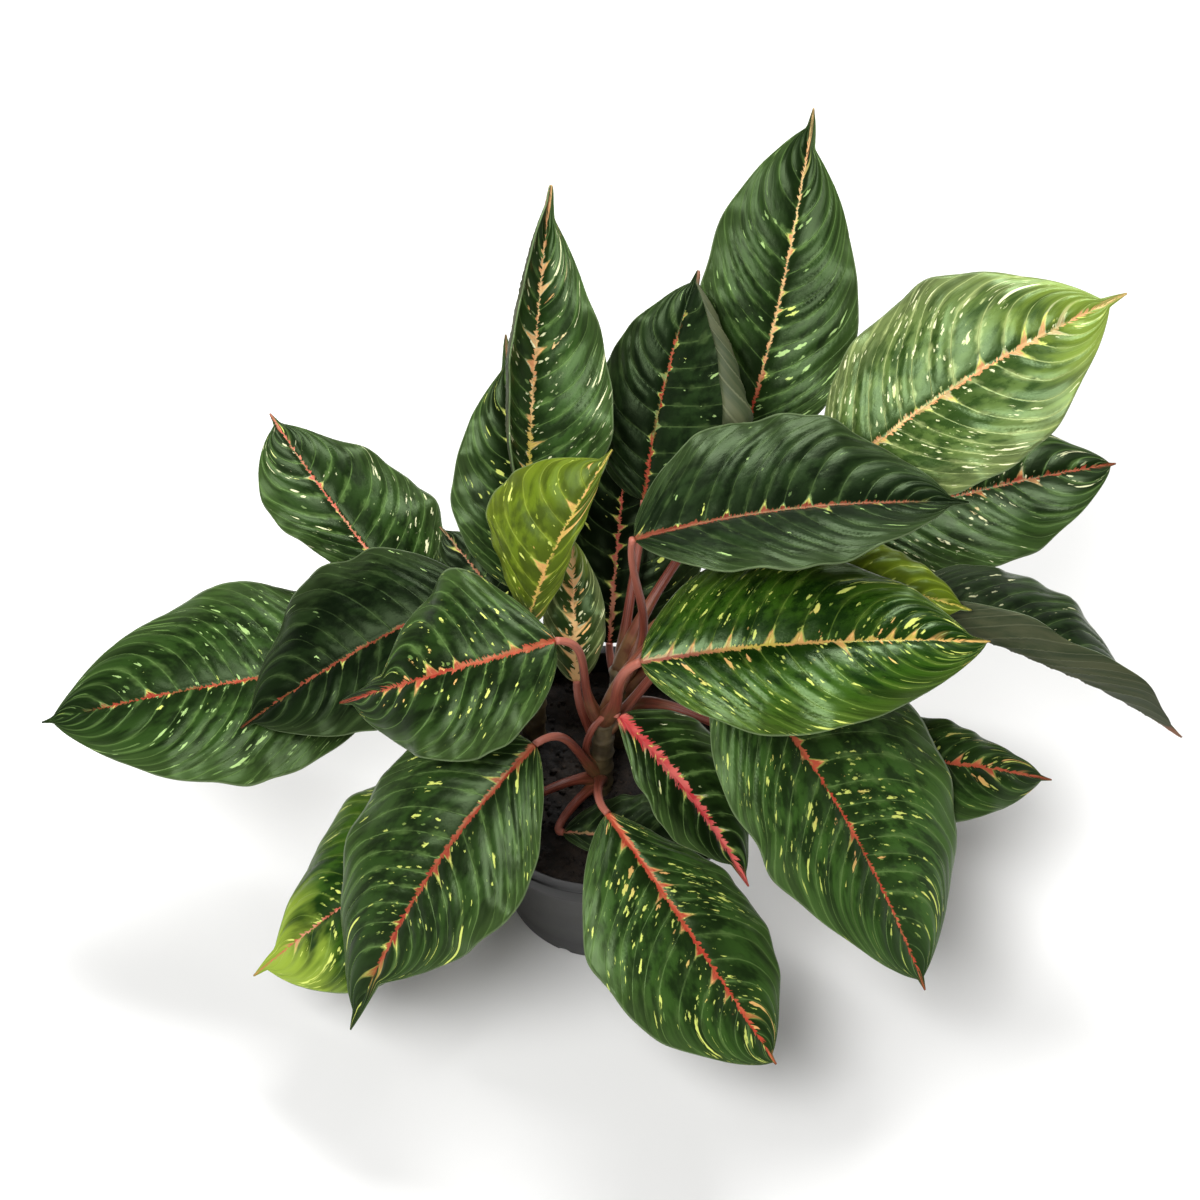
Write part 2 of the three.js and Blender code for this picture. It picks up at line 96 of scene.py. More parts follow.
# What a leaf has unless its own row says otherwise, as in the part's source
USUAL_LEAF = dict(belly_left=0.45, belly_right=0.45, tail_left=0.05, tail_right=0.05, arch=10, sway=0,
                  roll=0, fold=14, bend_left=35, bend_right=35, curl_left=0, curl_right=0, wave=3,
                  lean=0.5, rise=0.45, neck=0.3, kink=0.3, stalk=1, leave=None)

# The leaves, with base and tip of the midrib and the half widths as seen toward the tip
LEAVES = [
    dict(name="leaf_01", shoot="rear", node=1, base=(74, 123, 240), tip=(110, 252, 356), left=41, right=42,
         arch=4, sway=-4, fold=16, bend_left=25, bend_right=30, belly_left=0.52, belly_right=0.38,
         tail_right=0.1),
    dict(name="leaf_02", shoot="rear", node=0.97, base=(113, 87, 248), tip=(262, 145, 333), left=55, right=52,
         arch=8, sway=5, roll=-14, fold=18, bend_left=30, bend_right=30, wave=3.5, belly_left=0.5,
         belly_right=0.5, tail_left=0.06),
    dict(name="leaf_03", shoot="left", node=1, base=(-36, 74, 258), tip=(-24, 188, 365), left=28, right=41,
         arch=3, sway=2, fold=20, bend_left=-100, bend_right=25, kink=0.12, neck=0.35, lean=0.1,
         belly_left=0.42, belly_right=0.3, tail_right=0.09),
    dict(name="leaf_04", shoot="rear", node=0.9, base=(23, 95, 229), tip=(50, 178, 314), left=35, right=80,
         arch=2, sway=3, roll=5, fold=20, bend_left=30, bend_right=20, curl_right=-190, belly_left=0.42,
         belly_right=0.35),
    dict(name="leaf_05", shoot="rear", node=0.86, base=(17, 31, 282), tip=(183, 58, 276), left=52, right=44,
         arch=7, sway=3, fold=24, bend_left=25, bend_right=20, kink=0.9),
    dict(name="leaf_06", shoot="front", node=1, base=(20, -13, 240), tip=(193, -1, 240), left=54, right=46,
         arch=12, roll=-10, bend_right=45, stalk=1.25, belly_left=0.42, belly_right=0.46, tail_right=0.01),
    dict(name="leaf_07", shoot="rear", node=0.75, base=(135, 117, 174), tip=(284, 155, 184), left=46,
         right=48, arch=8, roll=-5, fold=15, bend_left=30, bend_right=30, tail_left=0.02, tail_right=0.02),
    dict(name="leaf_08", shoot="rear", node=0.68, base=(145, 52, 196), tip=(308, 6, 140), left=51, right=42,
         arch=21, sway=-4, roll=4, bend_left=40, bend_right=-115, belly_left=0.4, belly_right=0.45,
         tail_left=0.12),
    dict(name="leaf_09", shoot="front", node=0.95, base=(97, 48, 228), tip=(187, 24, 231), left=22, right=24,
         arch=8, roll=-10, fold=20, bend_left=40, bend_right=40, wave=1.5, lean=0.2, rise=0.6, neck=0.45),
    dict(name="leaf_10", shoot="front", node=0.8, base=(60, 12, 216), tip=(169, -115, 85), left=69, right=50,
         arch=12, sway=6, bend_right=40, lean=0.9, rise=0.3, belly_left=0.5, tail_left=0.03, tail_right=0.03),
    dict(name="leaf_11", shoot="rear", node=0.45, base=(123, -10, 145), tip=(243, -3, 110), left=24, right=32,
         roll=-14, wave=2.5, belly_left=0.38),
    dict(name="leaf_12", shoot="front", node=0.12, base=(4, -47, 150), tip=(90, -156, 84), left=38, right=54,
         sway=-3, roll=4, fold=16, bend_right=40, belly_left=0.56, belly_right=0.5, tail_left=0.03,
         tail_right=0.01),
    dict(name="leaf_13", shoot="front", node=0.42, base=(10, -9, 183), tip=(77, -73, 120), left=34, right=22,
         arch=6, sway=2, roll=4, wave=2, leave=(-0.9, -0.5, 0.3), rise=0.4, stalk=0.8, belly_right=0.5,
         tail_right=0.12),
    dict(name="leaf_14", shoot="front", node=0.2, base=(-33, -30, 190), tip=(-129, -135, 80), left=47,
         right=56, arch=14, sway=-4, bend_left=40, bend_right=40, belly_left=0.42, belly_right=0.4,
         tail_left=0.16),
    dict(name="leaf_15", shoot="front", node=0.08, base=(-54, -34, 130), tip=(-184, -97, 65), left=50,
         right=54, bend_right=40, wave=2.5, belly_left=0.58, belly_right=0.36, tail_right=0.1),
    dict(name="leaf_16", shoot="front", node=0.93, base=(-22, -4, 245), tip=(-133, -5, 190), left=46,
         right=52, arch=16, sway=5, roll=18, bend_right=40, wave=4, belly_left=0.4, belly_right=0.38,
         tail_left=0.08, tail_right=0.24),
    dict(name="leaf_17", shoot="left", node=0.8, base=(-62, 51, 210), tip=(-188, 1, 156), left=44, right=54,
         arch=12, roll=10, bend_right=40),
    dict(name="leaf_18", shoot="left", node=0.6, base=(-111, 41, 158), tip=(-301, 24, 125), left=56, right=57,
         arch=12, roll=14, fold=12, bend_left=30, belly_left=0.42, tail_left=0.03, tail_right=0.03),
    dict(name="leaf_19", shoot="left", node=0.7, base=(-97, 69, 165), tip=(-179, 165, 215), left=31, right=47,
         arch=5, sway=4, belly_left=0.66, belly_right=0.38),
    dict(name="leaf_20", shoot="left", node=0.95, base=(-36, 19, 229), tip=(6, 69, 304), left=43, right=9,
         fold=20, bend_left=40, bend_right=60, wave=2, belly_left=0.53, belly_right=0.35, tail_left=0.06),
    dict(name="leaf_21", shoot="left", node=0.88, base=(-40, 48, 215), tip=(-48, 147, 300), left=32, right=34,
         arch=6, fold=16, wave=2, belly_left=0.4, tail_left=0.12),
    dict(name="leaf_22", shoot="front", node=0.05, base=(-19, -43, 124), tip=(68, -58, 126), left=28,
         right=12, arch=4, fold=10, wave=1),
    dict(name="leaf_23", shoot="front", node=0.5, base=(-12, 8, 190), tip=(-15, 67, 240), left=15, right=15,
         arch=5, fold=20, wave=1.5),
    dict(name="leaf_24", shoot="rear", node=0.5, base=(5, 52, 160), tip=(16, 158, 224), left=38, right=46,
         arch=6, wave=2, belly_left=0.4, belly_right=0.4),
    dict(name="leaf_25", shoot="left", node=0.6, base=(-42, 52, 165), tip=(-86, 107, 190), left=24, right=24,
         arch=6, wave=2),
]

# Colours, as linear red, green and blue
GREENS = {
    "deep": ((0.004, 0.010, 0.003), (0.014, 0.032, 0.008), (0.075, 0.125, 0.038)),
    "mid": ((0.006, 0.015, 0.003), (0.022, 0.054, 0.009), (0.120, 0.210, 0.055)),
    "pale": ((0.022, 0.050, 0.008), (0.085, 0.140, 0.030), (0.400, 0.470, 0.180)),
    "bright": ((0.006, 0.024, 0.002), (0.030, 0.085, 0.005), (0.150, 0.240, 0.035)),
    "young": ((0.040, 0.060, 0.003), (0.100, 0.150, 0.006), (0.270, 0.340, 0.030)),
}
RIBS = {
    "red": ((0.480, 0.050, 0.030), (0.560, 0.120, 0.060)),
    "brick": ((0.300, 0.032, 0.020), (0.400, 0.085, 0.045)),
    "maroon": ((0.150, 0.022, 0.013), (0.240, 0.055, 0.030)),
    "pink": ((0.560, 0.110, 0.080), (0.640, 0.260, 0.160)),
    "crimson": ((0.520, 0.040, 0.050), (0.700, 0.150, 0.130)),
    "peach": ((0.620, 0.270, 0.120), (0.680, 0.430, 0.190)),
    "yellow": ((0.480, 0.400, 0.070), (0.620, 0.330, 0.110)),
    "dull": ((0.330, 0.100, 0.070), (0.260, 0.170, 0.080)),
}
FLECKS = {
    "pale": (0.380, 0.560, 0.200),
    "yellow": (0.680, 0.760, 0.170),
    "peach": (0.800, 0.430, 0.150),
    "cream": (0.860, 0.860, 0.520),
}
COLORS = {
    "patch": (0.260, 0.360, 0.040),
    "rib_shade": (0.160, 0.150, 0.040),
    "margin": (0.200, 0.270, 0.130),
    "blade_shine": (0.7, 1.0, 0.5),
    "under_dark": (0.026, 0.040, 0.015),
    "under_light": (0.066, 0.074, 0.034),
    "under_vein": (0.140, 0.150, 0.080),
    "under_rib": (0.240, 0.120, 0.070),
    "petiole_dark": (0.110, 0.024, 0.014),
    "petiole_light": (0.270, 0.070, 0.042),
    "petiole_end": (0.430, 0.140, 0.095),
    "sheath_dark": (0.070, 0.030, 0.012),
    "sheath_light": (0.170, 0.110, 0.040),
    "cane_dark": (0.030, 0.022, 0.008),
    "cane_light": (0.110, 0.080, 0.034),
    "cane_ring": (0.060, 0.034, 0.018),
    "soil_dark": (0.003, 0.002, 0.0015),
    "soil_light": (0.022, 0.013, 0.007),
    "soil_fibre": (0.060, 0.034, 0.017),
    "pot_clean": (0.004, 0.004, 0.004),
    "pot_dusty": (0.022, 0.021, 0.018),
    "floor_cool": (0.86, 0.86, 0.85),
    "floor_warm": (0.90, 0.90, 0.89),
    "studio": (1.0, 0.99, 0.97),
}

# How each blade is marked. tone scales its greens, and holds painted shade as well as the blade's own
# green: low tones darken blades that sit deep in the plant. rib_half is the coloured midrib's half width at
# the foot and spikes the reach of its side streaks, both in millimetres; spiky is the share of lateral veins
# with one, fringe how ragged the midrib's sides are, broken how much of it fades, rib_end the share of the
# length at which it ends, and rib_foot another colour near the petiole. flecks, veins, patch, rim and gloss
# are strengths from 0 to 1, and quilt is the swelling between lateral veins in millimetres.
USUAL_LOOK = dict(green="mid", tone=0.9, rib="brick", rib_foot=None, rib_half=1.0, rib_end=1.1, fringe=0.55,
                  broken=0.6, spikes=9, spiky=0.4, flecks=0.3, fleck="yellow", second="yellow", veins=0.7,
                  patch=0.0, quilt=1.25, rim=0.5, roughness=0.33, gloss=0.28)
LOOKS = {
    "leaf_01": dict(tone=0.8, rib="peach", rib_foot="brick", rib_half=1.1, spikes=4, flecks=0.22,
                    fleck="pale", gloss=0.25),
    "leaf_02": dict(green="pale", tone=1.0, rib="peach", rib_half=2.2, fringe=0.9, spikes=12, spiky=0.6,
                    flecks=0.55, fleck="cream", veins=0.9, patch=0.5, roughness=0.28, gloss=0.42),
    "leaf_03": dict(tone=1.3, rib="peach", rib_foot="yellow", rib_half=1.3, fringe=0.7, spikes=8, flecks=0.5,
                    fleck="cream", second="peach", veins=0.85),
    "leaf_04": dict(green="deep", rib_half=1.3, rib_end=0.8, broken=0.9, spikes=2, flecks=0.08, fleck="pale",
                    quilt=1.4, gloss=0.22),
    "leaf_05": dict(green="deep", tone=0.7, rib="maroon", rib_half=1.8, rib_end=0.9, spikes=5, spiky=0.35,
                    flecks=0.06, fleck="pale", veins=0.45, quilt=1.6, gloss=0.2),
    "leaf_06": dict(green="bright", rib="yellow", rib_foot="dull", rib_half=1.7, broken=0.3, spiky=0.5,
                    flecks=0.55, second="peach", veins=0.6, quilt=1.4, roughness=0.28, gloss=0.42),
    "leaf_07": dict(tone=0.8, rib_half=2.2, fringe=1.0, flecks=0.6, fleck="cream", second="peach",
                    gloss=0.22),
    "leaf_08": dict(green="deep", tone=0.8, rib="dull", spikes=3, flecks=0.25, fleck="cream"),
    "leaf_09": dict(green="young", tone=1.5, rib="yellow", rib_half=0.8, spikes=3, flecks=0.2),
    "leaf_10": dict(tone=1.8, rib="red", rib_half=1.6, broken=0.8, spikes=10, spiky=0.25, flecks=0.6,
                    second="peach", veins=0.9),
    "leaf_11": dict(tone=1.4, rib="red", rib_half=1.8, broken=0.2, spiky=0.5, flecks=0.7, second="peach"),
    "leaf_12": dict(tone=1.4, rib="red", rib_half=2.4, fringe=0.7, broken=0.2, spikes=8, spiky=0.5,
                    flecks=0.75, second="peach"),
    "leaf_13": dict(tone=0.7, rib="crimson", rib_half=5.0, fringe=1.0, broken=0.0, spikes=7, spiky=0.9,
                    flecks=0.1, fleck="cream", veins=0.9),
    "leaf_14": dict(rib_half=2.3, rib_end=0.86, broken=0.3, flecks=0.35, veins=0.8),
    "leaf_15": dict(green="bright", tone=1.0, rib="pink", rib_half=1.2, spikes=8, flecks=0.7, patch=1.0),
    "leaf_16": dict(tone=0.6, rib_half=2.3, fringe=0.8, broken=0.2, spikes=8, spiky=0.5, second="peach",
                    gloss=0.2),
    "leaf_17": dict(green="deep", tone=0.5, rib="maroon", rib_half=1.4, spikes=5, spiky=0.2, flecks=0.08,
                    fleck="pale", veins=0.35, gloss=0.12),
    "leaf_18": dict(rib_half=1.3, rib_end=0.88, spikes=4, fleck="pale", gloss=0.2),
    "leaf_19": dict(tone=0.75, rib="pink", spikes=4, flecks=0.4, fleck="cream", gloss=0.2),
    "leaf_20": dict(green="young", tone=1.15, rib="yellow", rib_half=0.9, spiky=0.7, second="peach",
                    quilt=1.0, roughness=0.42, gloss=0.25),
    "leaf_21": dict(tone=0.6, rib="dull", spikes=4, flecks=0.4),
    "leaf_22": dict(green="deep", tone=0.6, rib="dull", spikes=2, flecks=0.1, fleck="pale"),
    "leaf_23": dict(green="pale", tone=0.5, rib="peach", rib_half=2.4, fringe=1.2, spiky=0.9, flecks=0.9,
                    fleck="cream", second="peach", patch=0.5),
    # leaf_24 and leaf_25 fill dark gaps in the middle of the plant: their low tones are painted shade.
    "leaf_24": dict(green="deep", tone=0.35, rib="pink", rib_half=1.5, spikes=4, flecks=0.2, gloss=0.15),
    "leaf_25": dict(green="deep", tone=0.4, rib="dull", spikes=3, spiky=0.15, gloss=0.15),
}

# The young blades
YOUNG = ("leaf_09", "leaf_20")

# The step in the noise from one blade to the next
SEED_STEP = 11.7


# Small helpers

def lerp(a, b, share):
    return a + (b - a) * share


def ease(value, low, high):
    """0 before low and 1 past high, with a smooth change between; low may be the larger."""
    share = np.clip((value - low) / (high - low), 0, 1)
    return share * share * (3 - 2 * share)


def unit(vectors):
    vectors = np.asarray(vectors, float)
    return vectors / np.maximum(np.linalg.norm(vectors, axis=-1, keepdims=True), 1e-9)


def turned(vector, axis, degrees):
    """vector turned about a unit axis."""
    angle = math.radians(degrees)
    return (vector * math.cos(angle) + np.cross(axis, vector) * math.sin(angle)
            + axis * np.dot(axis, vector) * (1 - math.cos(angle)))


def bezier(points, shares):
    """Points of a Bezier curve of any degree, and its unit tangents."""
    points = [np.asarray(p, float) for p in points]
    shares = np.asarray(shares, float)[:, None]

    def level(handles):
        while len(handles) > 1:
            handles = [lerp(a, b, shares) for a, b in zip(handles, handles[1:])]
        return handles[0] + 0 * shares
    return level(points), unit(level([b - a for a, b in zip(points, points[1:])]))


def ripples(points, pitch, seed):
    """Smooth noise from -1 to 1 at each point."""
    shift = Vector((seed * 7.3, seed * 3.1, seed * 5.7))
    return np.array([noise.noise(Vector(p) / pitch + shift) for p in points])


def new_piece(name, vertices, faces, materials, face_materials=None, layers=None):
    """A smooth-shaded mesh object in metres, from millimetres, with its UV layers given by vertex."""
    mesh = bpy.data.meshes.new(name)
    mesh.from_pydata((np.asarray(vertices) * MM).tolist(), [], faces)
    for material in materials:
        mesh.materials.append(material)
    mesh.polygons.foreach_set("use_smooth", [True] * len(mesh.polygons))
    if face_materials is not None:
        mesh.polygons.foreach_set("material_index", face_materials)
    corners = np.empty(len(mesh.loops), dtype=int)
    mesh.loops.foreach_get("vertex_index", corners)
    for layer, values in (layers or {}).items():
        mesh.uv_layers.new(name=layer).data.foreach_set("uv", np.asarray(values)[corners].ravel())
    mesh.update()
    piece = bpy.data.objects.new(name, mesh)
    bpy.context.scene.collection.objects.link(piece)
    return piece


def settle(piece, slot, *nodes):
    """Rides on the plant and stands for these nodes; slot is not used."""
    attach(piece, "root")
    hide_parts(*nodes)


# Materials

class Shade:
    """A node material, built up from small expressions."""

    def __init__(self, name):
        self.material = bpy.data.materials.new(name)
        self.material.use_nodes = True
        self.tree = self.material.node_tree
        self.tree.nodes.clear()
        self.surface = self.node("ShaderNodeBsdfPrincipled")
        self.node("ShaderNodeOutputMaterial", {"Surface": self.surface.outputs[0]})

    def feed(self, socket, value):
        if isinstance(value, bpy.types.NodeSocket):
            self.tree.links.new(value, socket)
        elif isinstance(value, tuple) and len(value) == 3 and socket.type == "RGBA":
            socket.default_value = (*value, 1)
        else:
            socket.default_value = value

    def node(self, kind, inputs=None, **settings):
        made = self.tree.nodes.new(kind)
        for key, value in settings.items():
            setattr(made, key, value)
        for key, value in (inputs or {}).items():
            self.feed(made.inputs[key], value)
        return made

    def math(self, operation, *values):
        return self.node("ShaderNodeMath", dict(enumerate(values)), operation=operation).outputs[0]

    def times(self, a, b):
        return self.math("MULTIPLY", a, b)

    def scaled(self, value, scale, shift):
        return self.math("MULTIPLY_ADD", value, scale, shift)

    def ease(self, value, low, high):
        """0 below low and 1 above high, with a smooth rise between."""
        inputs = {"Value": value, "From Min": low, "From Max": high}
        return self.node("ShaderNodeMapRange", inputs, interpolation_type="SMOOTHSTEP").outputs["Result"]

    def less(self, value, low, high):
        """1 below low and 0 above high, with a smooth fall between."""
        return self.math("SUBTRACT", 1.0, self.ease(value, low, high))

    def noise(self, vector, scale, seed=0.0, detail=2.0, roughness=0.5):
        inputs = {"Vector": vector, "W": seed, "Scale": scale, "Detail": detail, "Roughness": roughness}
        return self.node("ShaderNodeTexNoise", inputs, noise_dimensions="4D").outputs["Fac"]

    def mix(self, share, a, b):
        inputs = {0: share, 6: a, 7: b}
        return self.node("ShaderNodeMix", inputs, data_type="RGBA").outputs[2]

    def vector(self, x, y, z=0.0):
        return self.node("ShaderNodeCombineXYZ", {0: x, 1: y, 2: z}).outputs[0]

    def layer(self, name):
        place = self.node("ShaderNodeUVMap", uv_map=name).outputs[0]
        return self.node("ShaderNodeSeparateXYZ", {0: place}).outputs[:2]

    def position(self):
        return self.node("ShaderNodeTexCoord").outputs["Object"]

    def bump(self, height, distance, strength):
        inputs = {"Height": height, "Distance": distance, "Strength": strength}
        self.feed(self.surface.inputs["Normal"], self.node("ShaderNodeBump", inputs).outputs[0])

    def finish(self, **sockets):
        for name, value in sockets.items():
            self.feed(self.surface.inputs[name.replace("_", " ")], value)
        return self.material


def vein_space(s):
    """Places on a blade: the nearest lateral vein and the way off it, the side, centimetres from the midrib,
    and shares along and across."""
    vein, across = s.layer("vein")
    share, edge = s.layer("blade")
    away = s.math("ABSOLUTE", across)
    right = s.math("LESS_THAN", across, 0.0)
    vein = s.scaled(right, 0.5, vein)
    whole = s.math("FLOOR", s.math("ADD", vein, 0.5))
    off = s.math("ABSOLUTE", s.math("SUBTRACT", vein, whole))
    return dict(vein=vein, whole=whole, off=off, right=right, away=away, share=share, edge=edge)


def blade_space(s, seed):
    """vein_space with the noise that the upper face's markings share, its rim and its thin vein lines."""
    at = vein_space(s)
    plain = s.vector(s.times(at["vein"], 1.1), at["away"], at["right"])
    drawn = s.vector(s.times(at["vein"], 6.5), s.times(at["away"], 1.9), at["right"])
    at["plain"] = plain
    at["cloud"] = s.noise(plain, 0.9, seed, 3.0)
    at["wash"] = s.noise(plain, 1.9, seed + 1, 4.0, 0.6)
    at["wander"] = s.math("SUBTRACT", s.noise(drawn, 1.3, seed + 4, 3.0), 0.5)
    at["rim"] = s.math("ABSOLUTE", s.math("SUBTRACT", at["edge"], 0.5))
    at["line"] = s.less(s.scaled(at["wander"], 0.05, at["off"]), 0.008, 0.045)
    return at


def spots(s, at, along, away, size, seed, crowd):
    """Ragged spots drawn out along the lateral veins, and a random value for each; crowd is their density."""
    place = s.vector(s.scaled(at["vein"], along, seed), s.times(at["away"], away), s.times(at["right"], 5.0))
    cells = s.node("ShaderNodeTexVoronoi", {"Vector": place, "Scale": 1.0})
    draw = s.node("ShaderNodeSeparateXYZ", {0: cells.outputs["Color"]}).outputs
    ragged = s.math("SUBTRACT", s.noise(place, 3.0, seed, 2.0), 0.5)
    distance = s.scaled(ragged, 0.95, cells.outputs["Distance"])
    radius = s.scaled(draw[1], size, 0.25 * size)
    inside = s.ease(s.math("SUBTRACT", radius, distance), -0.03, 0.07)
    return s.times(inside, s.math("LESS_THAN", draw[0], crowd)), draw[2]


def blade_greens(s, at, look):
    """Greens: pale feathers by the veins and pale margins, partly painted sheen, darkest between veins near
    the midrib.
    """
    dark, middle, light = GREENS[look["green"]]
    # The blade's tone scales its dark and middle greens; low tones are partly painted shade.
    dark, middle = (tuple(look["tone"] * part for part in color) for color in (dark, middle))
    wash, cloud = at["wash"], at["cloud"]
    green = s.mix(s.ease(s.scaled(wash, 0.7, cloud), 0.72, 0.98), dark, middle)
    # Pale feathers beside the lateral veins: the leaf's own marking, made brighter as painted sheen.
    feather_and_sheen = s.less(s.scaled(s.math("SUBTRACT", wash, 0.5), 0.9, at["off"]), -0.02, 0.2)
    feather_and_sheen = s.times(feather_and_sheen, s.ease(cloud, 0.4, 0.62))
    inner = s.times(s.less(at["away"], 0.3, 1.9), s.scaled(feather_and_sheen, -0.6, 0.75))
    green = s.mix(inner, green, dark)
    # Paler toward the margins: partly the blade's own paler edge, partly painted sheen.
    pale_edge_and_sheen = s.ease(s.scaled(wash, 0.3, at["rim"]), 0.4, 0.68)
    green = s.mix(s.times(pale_edge_and_sheen, 0.5), green, tuple(0.45 * part for part in light))
    green = s.mix(s.times(feather_and_sheen, 0.7 * look["veins"]), green, light)
    shown = s.times(at["line"], s.scaled(s.ease(wash, 0.38, 0.6), 0.75, 0.25))
    green = s.mix(s.times(shown, 0.8 * look["veins"]), green, light)
    if look["patch"]:
        toward_tip = s.ease(s.scaled(cloud, 0.45, at["share"]), 0.9, 1.12)
        green = s.mix(s.times(toward_tip, look["patch"]), green, COLORS["patch"])
    return green


def blade_flecks(s, at, look, seed, color):
    """Flecks, large and small, in loose clusters, and the random value of the nearest large one."""
    pale = FLECKS[look["fleck"]]
    light = GREENS[look["green"]][2]
    cluster = s.ease(s.noise(at["plain"], 0.5, seed + 2, 1.0), 0.4, 0.6)
    crowd = s.scaled(cluster, 0.85 * look["flecks"], 0.06 * look["flecks"])
    large, tone = spots(s, at, 2.6, 1.1, 0.27, seed + 3, crowd)
    small, small_tone = spots(s, at, 5.6, 2.6, 0.3, seed + 6, crowd)
    near = s.less(at["away"], 0.4, 2.4)
    tint = s.mix(s.times(near, s.ease(tone, 0.45, 0.6)), pale, FLECKS[look["second"]])
    color = s.mix(s.times(small, 0.75), color, s.mix(small_tone, light, pale))
    return s.mix(s.times(large, 0.9), color, tint), tone


def side_streaks(s, at, look, seed):
    """Streaks out of the midrib along some lateral veins: body, halo, and place as a share of the reach."""
    draw = {"Vector": s.vector(at["whole"], at["right"], seed)}
    chance = s.node("ShaderNodeTexWhiteNoise", draw).outputs["Value"]
    chosen = s.math("LESS_THAN", chance, look["spiky"])
    chosen = s.times(chosen, s.less(at["share"], 0.78, 0.9))
    length = s.scaled(chance, 0.075 * look["spikes"] / look["spiky"], 0.15)
    part = s.math("DIVIDE", s.scaled(at["wander"], 0.9, at["away"]), length)
    taper = s.math("MAXIMUM", s.math("SUBTRACT", 1.0, part), 0.0)
    girth = s.scaled(taper, 0.2, s.scaled(at["wander"], 0.4, 0.02))
    inside = s.math("SUBTRACT", girth, at["off"])
    body = s.times(s.ease(inside, 0.0, 0.03), s.less(part, 0.9, 1.05))
    halo = s.times(s.ease(inside, -0.06, 0.0), s.less(part, 1.1, 1.4))
    return s.times(body, chosen), s.times(halo, chosen), part


def blade_midrib(s, at, look, seed, color, streak, part):
    """The ragged midrib, with its side streaks turning yellowish outward."""
    along = s.vector(s.times(at["vein"], 0.8), s.times(at["away"], 0.5))
    tone = s.noise(along, 1.1, seed + 5, 3.0)
    slimming = s.scaled(at["share"], -0.045 * look["rib_half"], 0.06 * look["rib_half"])
    half = s.times(slimming, s.scaled(tone, 1.8, 0.2))
    frayed = s.scaled(at["wander"], look["fringe"], at["away"])
    band = s.less(s.math("SUBTRACT", frayed, half), -0.02, 0.03)
    band = s.times(band, s.less(at["share"], look["rib_end"] - 0.1, look["rib_end"]))
    fading = s.times(s.ease(s.noise(along, 2.1, seed + 8, 2.0), 0.52, 0.62), look["broken"])
    shown = s.times(s.math("MAXIMUM", band, streak), s.math("SUBTRACT", 1.0, fading))
    rib_color = s.mix(s.ease(tone, 0.4, 0.62), *RIBS[look["rib"]])
    if look["rib_foot"]:
        low = s.less(s.scaled(at["wander"], 0.15, at["share"]), 0.12, 0.35)
        rib_color = s.mix(low, rib_color, RIBS[look["rib_foot"]][0])
    outward = s.times(s.ease(part, 0.35, 0.95), streak)
    rib_color = s.mix(outward, rib_color, FLECKS[look["second"]])
    color = s.mix(s.times(band, 0.5), color, COLORS["rib_shade"])
    return s.mix(shown, color, rib_color)


def upper_material(name, look, seed):
    """A blade's upper face: feathered green, flecked along the lateral veins, with a ragged midrib."""
    s = Shade(name)
    at = blade_space(s, seed)
    color, tone = blade_flecks(s, at, look, seed, blade_greens(s, at, look))
    streak, halo, part = side_streaks(s, at, look, seed)
    glow = s.mix(s.ease(tone, 0.3, 0.7), FLECKS[look["fleck"]], FLECKS[look["second"]])
    color = s.mix(s.times(halo, 0.45), color, glow)
    color = blade_midrib(s, at, look, seed, color, streak, part)
    margin = s.times(s.ease(at["rim"], 0.486, 0.498), look["rim"])
    color = s.mix(margin, color, COLORS["margin"])
    s.bump(s.scaled(at["line"], -0.6, at["wash"]), 0.0006, 0.4)
    roughness = s.scaled(at["wash"], 0.24, look["roughness"] - 0.12)
    return s.finish(Base_Color=color, Roughness=roughness, Specular_IOR_Level=look["gloss"],
                    Specular_Tint=COLORS["blade_shine"])


def lower_material():
    """A blade's underside: matt grey green, flushed toward the pale raised midrib."""
    s = Shade("underside")
    at = vein_space(s)
    plain = s.vector(at["vein"], at["away"], at["right"])
    cloud = s.noise(plain, 1.2, 3.0, 4.0, 0.6)
    color = s.mix(s.ease(cloud, 0.3, 0.7), COLORS["under_dark"], COLORS["under_light"])
    vein_line = s.less(at["off"], 0.02, 0.09)
    color = s.mix(s.times(vein_line, 0.4), color, COLORS["under_vein"])
    color = s.mix(s.less(at["away"], 0.15, 0.45), color, COLORS["under_rib"])
    s.bump(s.math("ADD", vein_line, cloud), 0.0005, 0.5)
    return s.finish(Base_Color=color, Roughness=s.scaled(cloud, 0.2, 0.5), Specular_IOR_Level=0.2)


def petiole_material():
    """Fleshy stalks: pink red, with olive and tan streaks on the sheath."""
    s = Shade("petiole")
    share, around = s.layer("stalk")
    long = s.vector(s.times(share, 2.2), s.times(around, 9.0))
    streak = s.noise(long, 1.0, 1.0, 4.0, 0.6)
    blotch = s.noise(s.position(), 90.0, 2.0, 3.0)
    pink = s.mix(s.ease(streak, 0.35, 0.7), COLORS["petiole_dark"], COLORS["petiole_light"])
    pink = s.mix(s.times(s.ease(share, 0.45, 0.95), 0.8), pink, COLORS["petiole_end"])
    sheath = s.mix(s.ease(blotch, 0.4, 0.62), COLORS["sheath_dark"], COLORS["sheath_light"])
    low = s.less(s.scaled(streak, 0.25, share), 0.18, 0.5)
    color = s.mix(s.times(low, 0.7), pink, sheath)
    s.bump(s.math("ADD", streak, s.times(blotch, 0.5)), 0.0004, 0.5)
    return s.finish(Base_Color=color, Roughness=s.scaled(blotch, 0.2, 0.3), Specular_IOR_Level=0.3)


